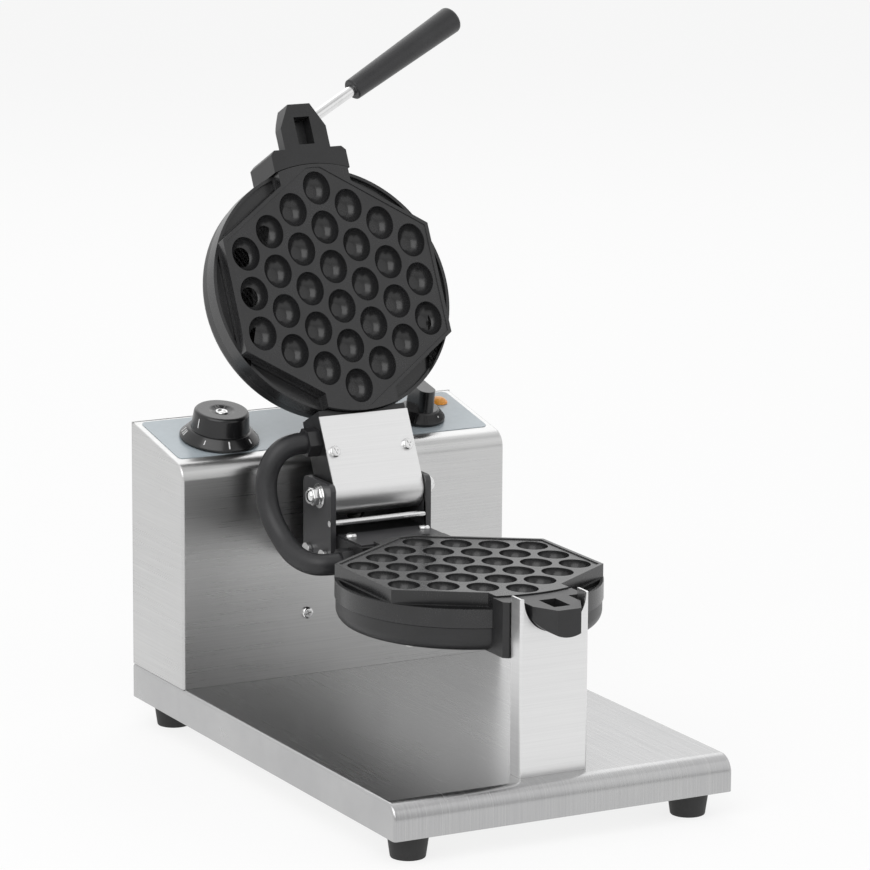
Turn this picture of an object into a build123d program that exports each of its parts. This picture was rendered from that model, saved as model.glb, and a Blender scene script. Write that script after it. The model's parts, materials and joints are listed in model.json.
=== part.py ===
from build123d import *
from math import atan2, cos, degrees, radians, sin, sqrt, tan
import os

# Bubble waffle maker, in millimetres.
# The origin is on the floor under the middle of the base, X to the right, Y to the back, Z up.
# The lid is drawn open, as it stands at rest.

# Base tray and feet
base_width = 250.0
front_ledge = 17.6
foot_height = 17.6
foot_top_r = 14.0
foot_bottom_r = 11.5
foot_inset_x = 21.1
foot_inset_y = 21.2
foot_recess_r = 5.0
foot_recess_depth = 9.0
foot_screw_r = 2.4
foot_screw_head_r = 4.2
foot_screw_head_height = 3.0
foot_screw_grip = 8.0
tray_height = 24.0
tray_front_r = 12.0
tray_edge_r = 2.5
sheet = 1.2
sheet_gap = 0.5

# Control box on the back of the tray
box_depth = 81.6
box_front_height = 155.8
box_rear_height = 172.8
box_front_r = 12.0
box_edge_r = 2.0
rear_flange = 9.0
film_thickness = 0.4
film_margin = 5.0
film_corner_r = 4.0
vent_count = 6
vent_width = 3.0
vent_length = 28.0
vent_pitch = 9.0

# Front post that cradles the lug of the lower mould
post_width = 50.0
post_depth = 13.0
post_sheet = 1.5
post_out = 25.7
post_over_parting = 2.05
post_fold_r = 2.0
post_foot_depth = 11.0
post_screw_x = 15.0
cradle_gap = 1.7
cradle_rise = 1.45

# Mould plates: the lower one lies level, the upper one is its mirror image
lower_face_z = 155.9
face_gap = 3.3
mould_r = 89.0
casting_height = 21.4
hex_inset = 9.8
hex_corner_inset = 0.6
hex_slope = 33.8
tab_half_width = 27.0
gutter_drop = 9.0
gutter_depth = 3.0
gutter_lip = 2.4
cell_columns = (3, 4, 5, 6, 5, 4, 3)
cell_side_land = 5.15
cell_end_land = 5.4
cell_half_x = 10.15
cell_half_y = 12.1
cell_depth = 10.2
cell_levels = (0, 0.4, 0.74, 0.95)
web_sink = 0.8
web_margin = 2.6

# Heater covers behind the plates
cover_height = 16.0
cover_step = 0.8
cover_wall = 3.0
cover_edge_r = 9.0
seam_gap = 0.4
heater_inset = 14.0
heater_tube_r = 4.0
cover_screw_inset = 16.2
cover_screw_count = 6
cover_screw_start = 30.0
cover_screw_head_r = 4.0
cover_screw_r = 2.0
cover_screw_head_height = 2.2
cover_screw_grip = 10.0

# Lug at the front of each heater cover
lug_top_drop = 1.0
lug_gap = 0.6
wing_half_width = 29.0
wing_chamfer = 3.0
wing_root = 27.0
wing_out = 11.8
stem_half_width = 17.5
stem_out = 27.3
nose_half_width = 8.5
nose_out = 44.3
lug_r = 21.1
slot_width = 12.0
slot_length = 20.0
slot_out = 24.8

# Hinge
hinge_out = 52.6
hinge_rise = 19.45
hinge_to_box = 36.5
open_angle = 117.0
arm_half_width = 33.0
arm_r = 13.4
arm_wall = 3.0
arm_cover_sheet = 1.0
arm_cover_half_width = 34.0
arm_cover_wrap = 100.0
arm_screw_x = 30.0
arm_screw_front = 25.9
arm_boss_r = 4.0
pan_head_r = 4.1
pan_head_height = 2.4
pan_taper = 25.0
small_screw_r = 1.8
small_screw_grip = 7.0
cheek_outer_x = 38.6
cheek_thickness = 4.0
cheek_front = 16.5
cheek_rear = 25.4
cheek_rise = 10.0
bracket_wall_rise = 6.0
bracket_wall = 4.0
cheek_corner_r = 5.0
pivot_r = 5.0
pivot_clearance = 0.05
bush_wall = 1.6
bush_flange = 1.3
nut_flat_r = 7.5
nut_height = 6.0
nut_dome_r = 6.4
nut_dome_height = 3.5
nut_dome_taper = 35.0
bush_length = 12.0
bracket_bolt_grip = 12.0
spindle_inside = 16.0
spindle_gap = 0.5
washer_r = 8.5
washer_thickness = 1.2
stop_bar_r = 2.3
stop_bar_front = 13.9
stop_bar_gap = 0.3
bracket_bolt_r = 3.0
bracket_bolt_head_r = 5.2
bracket_bolt_head_height = 3.2
bracket_bolt_front = 7.9
bracket_bolt_rear = 16.1
bracket_bolt_drop = 2.1
arm_rear_gap = 0.3
spindle_r = 11.0
spindle_bore_r = 7.0
flange_half = 27.0
flange_thickness = 6.0
flange_corner_r = 6.0
flange_bolt = 19.0
box_screw_x = 30.0
box_screw_rise = 44.0

# Handle on the nose of the upper lug
handle_rod_r = 3.9
handle_rod_length = 62.0
handle_tenon = 6.0
handle_rise = 9.95
grip_start = 39.0
grip_length = 103.6
grip_small_r = 7.7
grip_large_r = 9.8
grip_end_r = 3.0
grip_edge_r = 1.0

# Knobs, lamp and what stands behind the panel
knob_inset = 47.0
knob_back = 39.6
knob_gap = 0.6
skirt_r = 27.7
skirt_top_r = 22.0
skirt_rim = 1.6
skirt_height = 7.5
knob_grip_r = 20.4
knob_top_r = 19.2
knob_height = 21.0
knob_edge_r = 2.6
knob_dish_r = 9.5
knob_dish_depth = 2.0
knob_cap_r = 4.6
knob_cap_height = 1.2
timer_skirt_r = 18.4
timer_top_r = 13.0
timer_skirt_height = 8.0
timer_bar_width = 12.0
timer_bar_length = 27.0
timer_height = 24.0
shaft_r = 3.0
shaft_clearance = 0.05
shaft_depth_in_knob = 7.0
bushing_r = 5.0
bushing_height = 3.0
thermostat_body_w = 36.0
thermostat_body_h = 42.0
thermostat_body_depth = 28.0
timer_body_r = 24.0
timer_body_depth = 30.0
lamp_inset_x = 19.2
lamp_inset_y = 20.0
lamp_r = 6.4
lamp_rim = 1.0
lamp_dome = 3.0
lamp_body_r = 5.2
lamp_body_depth = 22.0
lamp_taper = 45.0
terminal_w = 46.0
terminal_d = 20.0
terminal_h = 18.0
gland_inset = 35.0
gland_rise = 20.4
gland_bore_r = 4.5
gland_r = 8.0
gland_flange_r = 11.0
gland_length = 14.0
gland_flange = 4.0
gland_taper = 8.0
rear_screw_inset_x = 13.0
rear_screw_inset_z = 12.4
rear_vent_rise = 88.4
shaft_inside = 10.0
bend_share = 0.45

# Flexible conduit between the lower unit and the lid
conduit_r = 7.5
conduit_bore_r = 5.0
fitting_r = 9.0
fitting_length = 9.0
fitting_front = 37.9
conduit_upper_run = 12.0
conduit_lower_run = 10.0

# Levels and places that follow from the sizes above
tray_z = foot_height
tray_top = foot_height + tray_height
front_reach = front_ledge + mould_r + post_out
rear_reach = mould_r + hinge_out + hinge_to_box + box_depth
base_depth = front_reach + rear_reach
mould_y = front_reach - base_depth / 2
post_front_y = mould_y - mould_r - post_out
hinge_y = mould_y + mould_r + hinge_out
box_rear_y = base_depth / 2
box_front_y = box_rear_y - box_depth
box_rear_top = tray_top + box_rear_height
panel_slope = degrees(atan2(box_rear_height - box_front_height, box_depth))
parting_z = lower_face_z + face_gap / 2
hinge_z = parting_z + hinge_rise
post_top_z = parting_z + post_over_parting
cradle_r = lug_r + cradle_gap
cradle_z = parting_z + cradle_rise
handle_z = parting_z + handle_rise
upper_face_z = lower_face_z + face_gap
arm_outer_r = arm_r + arm_cover_sheet
lower_arm_mid_z = 2 * parting_z - hinge_z
stop_bar_z = hinge_z - arm_outer_r - stop_bar_r - stop_bar_gap
foot_x = base_width / 2 - foot_inset_x
foot_y = base_depth / 2 - foot_inset_y
wing_front_y = mould_y - mould_r - wing_out
stem_shoulder_y = mould_y - mould_r - stem_out
nose_y = mould_y - mould_r - nose_out
slot_y = mould_y - mould_r - slot_out
arm_screw_y = hinge_y - arm_screw_front
cheek_front_y = hinge_y - cheek_front
cheek_rear_y = hinge_y + cheek_rear
cheek_top_z = hinge_z + cheek_rise
bracket_wall_top_z = hinge_z + bracket_wall_rise
lower_arm_rear_y = cheek_rear_y - bracket_wall - arm_rear_gap
stop_bar_y = hinge_y - stop_bar_front
bracket_bolt_y = (hinge_y - bracket_bolt_front, hinge_y + bracket_bolt_rear)
bracket_bolt_z = lower_arm_mid_z - bracket_bolt_drop
box_screw_z = tray_top + box_screw_rise
fitting_y = hinge_y - fitting_front

# The hexagon, the cells in it and what stands behind them follow the mould's radius
hex_half_width = mould_r - hex_inset
hex_corner_y = sqrt(mould_r**2 - hex_half_width**2) - hex_corner_inset
middle_column = (len(cell_columns) - 1) / 2
column_pitch = (hex_half_width - cell_side_land - cell_half_x) / middle_column
cell_pitch = 2 * (mould_r - cell_end_land - cell_half_y) / (max(cell_columns) - 1)
cover_r = mould_r - cover_step
cover_screw_ring_r = cover_r - cover_screw_inset
heater_ring_r = cover_screw_ring_r - heater_inset

# Controls on the panel, screws and gland behind
knob_x = base_width / 2 - knob_inset
knob_y = box_front_y + knob_back
lamp_x = base_width / 2 - lamp_inset_x
lamp_y = box_rear_y - lamp_inset_y
gland_x = base_width / 2 - gland_inset
gland_z = tray_top + gland_rise
rear_screw_x = base_width / 2 - rear_screw_inset_x
rear_screw_z = box_rear_height / 2 - rear_screw_inset_z
rear_vent_z = tray_top + rear_vent_rise

foot_places = [(x, y) for x in (-foot_x, foot_x) for y in (-foot_y, foot_y)]
post_screw_y = post_front_y + post_sheet + (post_depth - post_sheet) / 2
box_cover_y = box_rear_y - sheet
rear_mid_z = tray_top + box_rear_height / 2
rear_plane = Plane(origin=(0, box_cover_y, rear_mid_z), x_dir=(-1, 0, 0), z_dir=(0, 1, 0))

os.makedirs("parts", exist_ok=True)


# Places on the open lid are given as they lie when the lid is shut
def lid_point(x, y, z):
    turn = radians(open_angle)
    dy = y - hinge_y
    dz = z - hinge_z
    return Vector(
        x,
        hinge_y + cos(turn) * dy + sin(turn) * dz,
        hinge_z - sin(turn) * dy + cos(turn) * dz,
    )


def lid_direction(x, y, z):
    turn = radians(open_angle)
    return Vector(x, cos(turn) * y + sin(turn) * z, cos(turn) * z - sin(turn) * y)


def lid_plane(x, y, z, x_dir, z_dir):
    return Plane(
        origin=lid_point(x, y, z),
        x_dir=lid_direction(*x_dir),
        z_dir=lid_direction(*z_dir),
    )


# Both moulds are drawn on a plane whose Y runs to the hinge and whose Z leaves the face
lower_face = Plane(origin=(0, mould_y, lower_face_z), x_dir=(1, 0, 0), z_dir=(0, 0, 1))
upper_face = lid_plane(0, mould_y, upper_face_z, (-1, 0, 0), (0, 0, -1))

# The panel is the sloping top of the control box
panel_normal = Vector(0, -sin(radians(panel_slope)), cos(radians(panel_slope)))


def panel_z(y):
    return box_rear_top - (box_rear_y - y) * tan(radians(panel_slope))


def panel_plane(x, y, height):
    return Plane(
        origin=Vector(x, y, panel_z(y)) + panel_normal * height,
        x_dir=(1, 0, 0),
        z_dir=panel_normal,
    )


def save(builder, name):
    builder.part.label = name
    export_step(builder.part, "parts/" + name + ".step")


def cell_places():
    places = []
    for column, count in enumerate(cell_columns):
        x = (column - middle_column) * column_pitch
        for row in range(count):
            places.append((x, (row - (count - 1) / 2) * cell_pitch))
    return places


# The raised hexagon: straight sides along Y, slanting edges that meet on the Y axis
def hexagon_points(margin):
    slope = tan(radians(hex_slope))
    half = hex_half_width - margin
    tip = hex_corner_y + hex_half_width * slope - margin / cos(radians(hex_slope))
    corner = tip - half * slope
    return [(half, -corner), (half, corner), (0, tip), (-half, corner), (-half, -corner), (0, -tip)]


def mould_plate(face):
    with BuildPart() as plate:
        with BuildSketch(face.offset(-casting_height)):
            Circle(mould_r)
        extrude(amount=casting_height - gutter_drop)
        with BuildSketch(face.offset(-gutter_drop)):
            with BuildLine():
                Polyline(*hexagon_points(0), close=True)
            make_face()
            Rectangle(2 * tab_half_width, 2 * mould_r)
            Circle(mould_r, mode=Mode.INTERSECT)
        extrude(amount=gutter_drop)
        with BuildSketch(face.offset(-gutter_drop)):
            Circle(mould_r - gutter_lip)
            with BuildLine():
                Polyline(*hexagon_points(-gutter_lip / 2), close=True)
            make_face(mode=Mode.SUBTRACT)
            Rectangle(2 * tab_half_width + gutter_lip, 2 * mould_r, mode=Mode.SUBTRACT)
        extrude(amount=-gutter_depth, mode=Mode.SUBTRACT)
        with BuildSketch(face):
            with BuildLine():
                Polyline(*hexagon_points(web_margin), close=True)
            make_face()
            Circle(mould_r - web_margin, mode=Mode.INTERSECT)
        extrude(amount=-web_sink, mode=Mode.SUBTRACT)
        for x, y in cell_places():
            cell_origin = face.from_local_coords((x, y, -web_sink))
            cell = Plane(origin=cell_origin, x_dir=face.x_dir, z_dir=face.z_dir)
            for share in cell_levels:
                width = sqrt(1 - share**2)
                with BuildSketch(cell.offset(-cell_depth * share)):
                    Ellipse(cell_half_x * width, cell_half_y * width)
            loft(mode=Mode.SUBTRACT)
        with BuildSketch(face.offset(-casting_height)):
            with PolarLocations(cover_screw_ring_r, cover_screw_count, cover_screw_start):
                Circle(cover_screw_r)
        extrude(amount=cover_screw_grip, mode=Mode.SUBTRACT)
    return plate


lower_mould_plate = mould_plate(lower_face)
save(lower_mould_plate, "lower_mould_plate")
upper_mould_plate = mould_plate(upper_face)
save(upper_mould_plate, "upper_mould_plate")

# Levels and lengths measured from the face, Z out of the face and Y to the hinge
cover_top = -casting_height - seam_gap
cover_back = cover_top - cover_height
arm_near = -(hinge_z - arm_r - upper_face_z)
arm_far = -(hinge_z + arm_r - upper_face_z)
arm_axis = (arm_near + arm_far) / 2
arm_axis_y = hinge_y - mould_y
lower_arm_y = lower_arm_rear_y - mould_y
cavity_rear_y = arm_axis_y - arm_r - arm_wall
cheek_inner_x = cheek_outer_x - cheek_thickness
bush_r = pivot_r + pivot_clearance + bush_wall
boss_x = arm_screw_x - arm_boss_r / 2
boss_y = arm_screw_y - mould_y


# The handle stands square to the right facet of the upper nose
facet_x = (stem_half_width + nose_half_width) / 2
facet_y = (stem_shoulder_y + nose_y) / 2
facet_run_x = stem_half_width - nose_half_width
facet_run_y = stem_shoulder_y - nose_y
handle_plane = lid_plane(facet_x, facet_y, handle_z, (0, 0, 1), (facet_run_y, -facet_run_x, 0))

# A heater cover is one casting: dish, front lug and the arm that reaches the hinge
def heater_cover(face, half_width, arm_end_y):
    side = Plane(origin=face.from_local_coords((-half_width, 0, 0)), x_dir=face.y_dir, z_dir=face.x_dir)
    front = Plane(
        origin=face.from_local_coords((0, wing_front_y - mould_y, 0)),
        x_dir=face.x_dir,
        z_dir=-face.y_dir,
    )
    lug_turn = 1 if (front.y_dir - face.z_dir).length < 1 else -1
    with BuildPart() as cover:
        with BuildSketch(face.offset(cover_back)):
            Circle(cover_r)
        extrude(amount=cover_height)
        rims = cover.edges().filter_by(GeomType.CIRCLE)
        back_centre = face.from_local_coords((0, 0, cover_back))
        fillet(rims.sort_by_distance(back_centre).first, cover_edge_r)
        with BuildSketch(side):
            with BuildLine():
                Line((mould_r - arm_wall, arm_near), (arm_end_y, arm_near))
                if arm_end_y > arm_axis_y:
                    Line((arm_end_y, arm_near), (arm_end_y, arm_far))
                else:
                    ThreePointArc(
                        (arm_end_y, arm_near), (arm_end_y + arm_r, arm_axis), (arm_end_y, arm_far)
                    )
                Line((arm_end_y, arm_far), (mould_r - arm_wall, arm_far))
                Line((mould_r - arm_wall, arm_far), (mould_r - arm_wall, arm_near))
            make_face()
        extrude(amount=2 * half_width)
        with BuildSketch(face.offset(cover_back)):
            with BuildLine():
                Polyline(
                    (-wing_half_width, wing_root - mould_r),
                    (-wing_half_width, wing_front_y - mould_y + wing_chamfer),
                    (wing_chamfer - wing_half_width, wing_front_y - mould_y),
                    (wing_half_width - wing_chamfer, wing_front_y - mould_y),
                    (wing_half_width, wing_front_y - mould_y + wing_chamfer),
                    (wing_half_width, wing_root - mould_r),
                    close=True,
                )
            make_face()
        extrude(amount=-cover_back - lug_top_drop)
        with BuildSketch(front):
            with Locations((0, lug_turn * face_gap / 2)):
                Circle(lug_r)
            with Locations((0, -lug_turn * (lug_r + lug_top_drop))):
                Rectangle(2 * stem_half_width, 2 * lug_r, mode=Mode.INTERSECT)
        extrude(amount=wing_front_y - nose_y)
        with BuildSketch(face.offset(cover_back)):
            with BuildLine():
                Polyline(
                    (stem_half_width, stem_shoulder_y - mould_y),
                    (nose_half_width, nose_y - mould_y),
                    (stem_half_width, nose_y - mould_y),
                    close=True,
                )
            make_face()
            mirror(about=Plane.YZ)
            with Locations((0, slot_y - mould_y)):
                Rectangle(slot_width, slot_length)
        extrude(amount=-cover_back, mode=Mode.SUBTRACT)
        with BuildSketch(face.offset(cover_top)):
            Circle(mould_r + lug_gap)
        extrude(amount=-cover_top, mode=Mode.SUBTRACT)
        with BuildSketch(face.offset(cover_top)):
            Circle(cover_r - cover_wall)
            with PolarLocations(cover_screw_ring_r, cover_screw_count, cover_screw_start):
                Circle(cover_screw_r + cover_wall, mode=Mode.SUBTRACT)
        extrude(amount=cover_wall - cover_height, mode=Mode.SUBTRACT)
        cavity_front = mould_r + lug_gap + arm_wall
        with BuildSketch(face.offset(arm_near)):
            with Locations((0, (cavity_front + cavity_rear_y) / 2)):
                Rectangle(2 * (half_width - arm_wall), cavity_rear_y - cavity_front)
            with Locations((boss_x, boss_y), (-boss_x, boss_y)):
                Circle(arm_boss_r, mode=Mode.SUBTRACT)
        extrude(amount=arm_far - arm_near + arm_wall, mode=Mode.SUBTRACT)
        with BuildSketch(face.offset(arm_near)):
            with Locations((boss_x, boss_y), (-boss_x, boss_y)):
                Circle(small_screw_r)
        extrude(amount=-small_screw_grip, mode=Mode.SUBTRACT)
        with BuildSketch(face.offset(cover_back)):
            with PolarLocations(cover_screw_ring_r, cover_screw_count, cover_screw_start):
                Circle(cover_screw_r)
        extrude(amount=cover_height, mode=Mode.SUBTRACT)
        with BuildSketch(side):
            if arm_end_y > arm_axis_y:
                with Locations(*[(y - mould_y, bracket_bolt_z - lower_face_z) for y in bracket_bolt_y]):
                    Circle(bracket_bolt_r)
            else:
                with Locations((arm_axis_y, arm_axis)):
                    Circle(bush_r)
        extrude(amount=2 * half_width, mode=Mode.SUBTRACT)
        if arm_end_y <= arm_axis_y:
            with BuildSketch(handle_plane):
                Circle(handle_rod_r)
            extrude(amount=-handle_tenon, mode=Mode.SUBTRACT)
    return cover


lower_heater_cover = heater_cover(lower_face, cheek_inner_x, lower_arm_y)
save(lower_heater_cover, "lower_heater_cover")
upper_heater_cover = heater_cover(upper_face, arm_half_width, arm_axis_y)
save(upper_heater_cover, "upper_heater_cover")


def heating_element(face):
    level = face.offset(cover_top - heater_tube_r - seam_gap)
    with BuildPart() as element:
        ring_plane = Plane(
            origin=level.from_local_coords((heater_ring_r, 0, 0)),
            x_dir=level.x_dir,
            z_dir=level.y_dir,
        )
        with BuildSketch(ring_plane):
            Circle(heater_tube_r)
        revolve(axis=Axis(level.origin, level.z_dir), revolution_arc=360)
    return element


# Screws that hold a heater cover to its plate, as one group
def cover_screws(face):
    with BuildPart() as screws:
        with BuildSketch(face.offset(cover_back)):
            with PolarLocations(cover_screw_ring_r, cover_screw_count, cover_screw_start):
                Circle(cover_screw_r - pivot_clearance)
        extrude(amount=cover_height + cover_screw_grip)
        with BuildSketch(face.offset(cover_back)):
            with PolarLocations(cover_screw_ring_r, cover_screw_count, cover_screw_start):
                Circle(cover_screw_head_r)
        extrude(amount=-cover_screw_head_height)
    return screws


lower_cover_screws = cover_screws(lower_face)
save(lower_cover_screws, "lower_cover_screws")
upper_cover_screws = cover_screws(upper_face)
save(upper_cover_screws, "upper_cover_screws")
lower_heating_element = heating_element(lower_face)
save(lower_heating_element, "lower_heating_element")
upper_heating_element = heating_element(upper_face)
save(upper_heating_element, "upper_heating_element")


# Sheet over the open side of an arm, with a pan head screw at each front corner
def arm_cover(face, half_width, rear_y, wrap):
    front_y = mould_r + lug_gap + sheet_gap
    side = Plane(origin=face.from_local_coords((-half_width, 0, 0)), x_dir=face.y_dir, z_dir=face.x_dir)
    outer = arm_near + arm_cover_sheet
    turn = radians(wrap)
    with BuildPart() as cover:
        with BuildSketch(side):
            with BuildLine():
                if wrap:
                    inner_end = (rear_y + arm_r * sin(turn), arm_axis + arm_r * cos(turn))
                    outer_end = (rear_y + arm_outer_r * sin(turn), arm_axis + arm_outer_r * cos(turn))
                    inner_mid = (rear_y + arm_r * sin(turn / 2), arm_axis + arm_r * cos(turn / 2))
                    outer_mid = (
                        rear_y + arm_outer_r * sin(turn / 2),
                        arm_axis + arm_outer_r * cos(turn / 2),
                    )
                    Line((front_y, arm_near), (rear_y, arm_near))
                    ThreePointArc((rear_y, arm_near), inner_mid, inner_end)
                    Line(inner_end, outer_end)
                    ThreePointArc(outer_end, outer_mid, (rear_y, outer))
                    Line((rear_y, outer), (front_y, outer))
                    Line((front_y, outer), (front_y, arm_near))
                else:
                    Polyline(
                        (front_y, arm_near),
                        (rear_y, arm_near),
                        (rear_y, outer),
                        (front_y, outer),
                        close=True,
                    )
            make_face()
        extrude(amount=2 * half_width)
        with BuildSketch(face.offset(outer)):
            with Locations((boss_x, boss_y), (-boss_x, boss_y)):
                Circle(small_screw_r)
        extrude(amount=-arm_cover_sheet, mode=Mode.SUBTRACT)
        with BuildSketch(face.offset(outer)):
            Circle(mould_r + lug_gap)
        extrude(amount=-arm_cover_sheet, mode=Mode.SUBTRACT)
    return cover


def arm_screws(face):
    with BuildPart() as screws:
        with BuildSketch(face.offset(arm_near + arm_cover_sheet)):
            with Locations((boss_x, boss_y), (-boss_x, boss_y)):
                Circle(pan_head_r)
        extrude(amount=pan_head_height, taper=pan_taper)
        with BuildSketch(face.offset(arm_near + arm_cover_sheet)):
            with Locations((boss_x, boss_y), (-boss_x, boss_y)):
                Circle(small_screw_r - pivot_clearance)
        extrude(amount=-small_screw_grip)
    return screws


upper_arm_cover = arm_cover(upper_face, arm_cover_half_width, arm_axis_y, arm_cover_wrap)
save(upper_arm_cover, "upper_arm_cover")
lower_arm_cover = arm_cover(lower_face, arm_half_width, cheek_front_y - mould_y, 0)
save(lower_arm_cover, "lower_arm_cover")
upper_arm_screws = arm_screws(upper_face)
save(upper_arm_screws, "upper_arm_screws")
lower_arm_screws = arm_screws(lower_face)
save(lower_arm_screws, "lower_arm_screws")

# Hinge bracket: two cheeks joined by a wall behind the lower arm
cheek_bottom_z = 2 * parting_z - hinge_z - arm_r
wall_front_y = cheek_rear_y - bracket_wall
with BuildPart() as hinge_bracket:
    with BuildSketch(Plane.YZ.offset(-cheek_outer_x)) as cheek_outline:
        with BuildLine():
            Polyline(
                (cheek_front_y, cheek_bottom_z),
                (cheek_rear_y, cheek_bottom_z),
                (cheek_rear_y, cheek_top_z),
                (cheek_front_y, cheek_top_z),
                close=True,
            )
        make_face()
    extrude(amount=2 * cheek_outer_x)
    fillet(hinge_bracket.edges().filter_by(Axis.X).group_by(Axis.Z)[-1], cheek_corner_r)
    with BuildSketch(Plane.YZ.offset(-cheek_inner_x)):
        with BuildLine():
            Polyline(
                (cheek_front_y - cheek_thickness, cheek_bottom_z - cheek_thickness),
                (wall_front_y, cheek_bottom_z - cheek_thickness),
                (wall_front_y, bracket_wall_top_z),
                (cheek_rear_y + cheek_thickness, bracket_wall_top_z),
                (cheek_rear_y + cheek_thickness, cheek_top_z + cheek_thickness),
                (cheek_front_y - cheek_thickness, cheek_top_z + cheek_thickness),
                close=True,
            )
        make_face()
    extrude(amount=2 * cheek_inner_x, mode=Mode.SUBTRACT)
    with BuildSketch(Plane.YZ.offset(-cheek_outer_x)):
        with Locations((hinge_y, hinge_z)):
            Circle(pivot_r)
        with Locations((stop_bar_y, stop_bar_z)):
            Circle(stop_bar_r)
        with Locations(*[(y, bracket_bolt_z) for y in bracket_bolt_y]):
            Circle(bracket_bolt_r)
    extrude(amount=2 * cheek_outer_x, mode=Mode.SUBTRACT)
    with BuildSketch(Plane.XZ.offset(-wall_front_y)):
        with Locations((0, parting_z)):
            Circle(spindle_bore_r)
    extrude(amount=-bracket_wall, mode=Mode.SUBTRACT)
save(hinge_bracket, "hinge_bracket")

# Pivot: one bolt through both cheeks and the arm, in two flanged bushes
cap_x = cheek_outer_x + washer_thickness
pivot_left = Plane(origin=(-cap_x, hinge_y, hinge_z), x_dir=(0, 1, 0), z_dir=(-1, 0, 0))
pivot_right = Plane(origin=(cap_x, hinge_y, hinge_z), x_dir=(0, 1, 0), z_dir=(1, 0, 0))
pivot_ends = (pivot_left, pivot_right)
with BuildPart() as pivot_bolt:
    with BuildSketch(pivot_left.offset(nut_height)):
        Circle(pivot_r)
    extrude(amount=-2 * (cap_x + nut_height))
save(pivot_bolt, "pivot_bolt")

with BuildPart() as pivot_nuts:
    for end in pivot_ends:
        with BuildSketch(end):
            RegularPolygon(nut_flat_r, 6, major_radius=False)
        extrude(amount=nut_height)
        with BuildSketch(Plane(origin=end.origin, x_dir=end.x_dir, z_dir=end.z_dir).offset(nut_height)):
            Circle(nut_dome_r)
        extrude(amount=nut_dome_height, taper=nut_dome_taper)
        with BuildSketch(end):
            Circle(pivot_r)
        extrude(amount=nut_height, mode=Mode.SUBTRACT)
save(pivot_nuts, "pivot_nuts")

with BuildPart() as pivot_washers:
    for end in pivot_ends:
        with BuildSketch(end):
            Circle(washer_r)
            Circle(pivot_r, mode=Mode.SUBTRACT)
        extrude(amount=-washer_thickness)
save(pivot_washers, "pivot_washers")

with BuildPart() as pivot_bushes:
    for end in pivot_ends:
        with BuildSketch(end.offset(arm_half_width - cap_x)):
            Circle(bush_r + bush_wall)
            Circle(pivot_r + pivot_clearance, mode=Mode.SUBTRACT)
        extrude(amount=bush_flange)
        with BuildSketch(end.offset(arm_half_width - cap_x)):
            Circle(bush_r)
            Circle(pivot_r + pivot_clearance, mode=Mode.SUBTRACT)
        extrude(amount=-bush_length)
save(pivot_bushes, "pivot_bushes")

# Bright rod across the front of the cheeks, which the shut lid comes down on
with BuildPart() as stop_bar:
    with BuildSketch(Plane.YZ.offset(-cheek_outer_x)):
        with Locations((stop_bar_y, stop_bar_z)):
            Circle(stop_bar_r)
    extrude(amount=2 * cheek_outer_x)
save(stop_bar, "stop_bar")

with BuildPart() as bracket_bolts:
    for side in (-1, 1):
        with BuildSketch(Plane.YZ.offset(side * cheek_outer_x)):
            with Locations(*[(y, bracket_bolt_z) for y in bracket_bolt_y]):
                Circle(bracket_bolt_head_r)
        extrude(amount=side * bracket_bolt_head_height)
        with BuildSketch(Plane.YZ.offset(side * cheek_outer_x)):
            with Locations(*[(y, bracket_bolt_z) for y in bracket_bolt_y]):
                Circle(bracket_bolt_r)
        extrude(amount=-side * bracket_bolt_grip)
save(bracket_bolts, "bracket_bolts")

# Hollow spindle from the bracket through its flange into the control box
flange_front = Plane(origin=(0, box_front_y, parting_z), x_dir=(1, 0, 0), z_dir=(0, -1, 0))
with BuildPart() as spindle:
    with BuildSketch(Plane(origin=(0, cheek_rear_y, parting_z), x_dir=(1, 0, 0), z_dir=(0, 1, 0))):
        Circle(spindle_r)
        Circle(spindle_bore_r, mode=Mode.SUBTRACT)
    extrude(amount=box_front_y - cheek_rear_y + spindle_inside)
save(spindle, "spindle")

with BuildPart() as spindle_flange:
    with BuildSketch(flange_front):
        RectangleRounded(2 * flange_half, 2 * flange_half, flange_corner_r)
        Circle(spindle_r + spindle_gap, mode=Mode.SUBTRACT)
        with GridLocations(2 * flange_bolt, 2 * flange_bolt, 2, 2):
            Circle(small_screw_r, mode=Mode.SUBTRACT)
    extrude(amount=flange_thickness)
save(spindle_flange, "spindle_flange")

with BuildPart() as flange_screws:
    with BuildSketch(flange_front.offset(flange_thickness)):
        with GridLocations(2 * flange_bolt, 2 * flange_bolt, 2, 2):
            Circle(pan_head_r)
    extrude(amount=pan_head_height, taper=pan_taper)
    with BuildSketch(flange_front.offset(flange_thickness)):
        with GridLocations(2 * flange_bolt, 2 * flange_bolt, 2, 2):
            Circle(small_screw_r)
    extrude(amount=-flange_thickness - sheet - small_screw_grip / 2)
save(flange_screws, "flange_screws")

# Handle
with BuildPart() as handle_rod:
    with BuildSketch(handle_plane.offset(-handle_tenon)):
        Circle(handle_rod_r)
    extrude(amount=handle_tenon + handle_rod_length)
save(handle_rod, "handle_rod")

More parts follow.
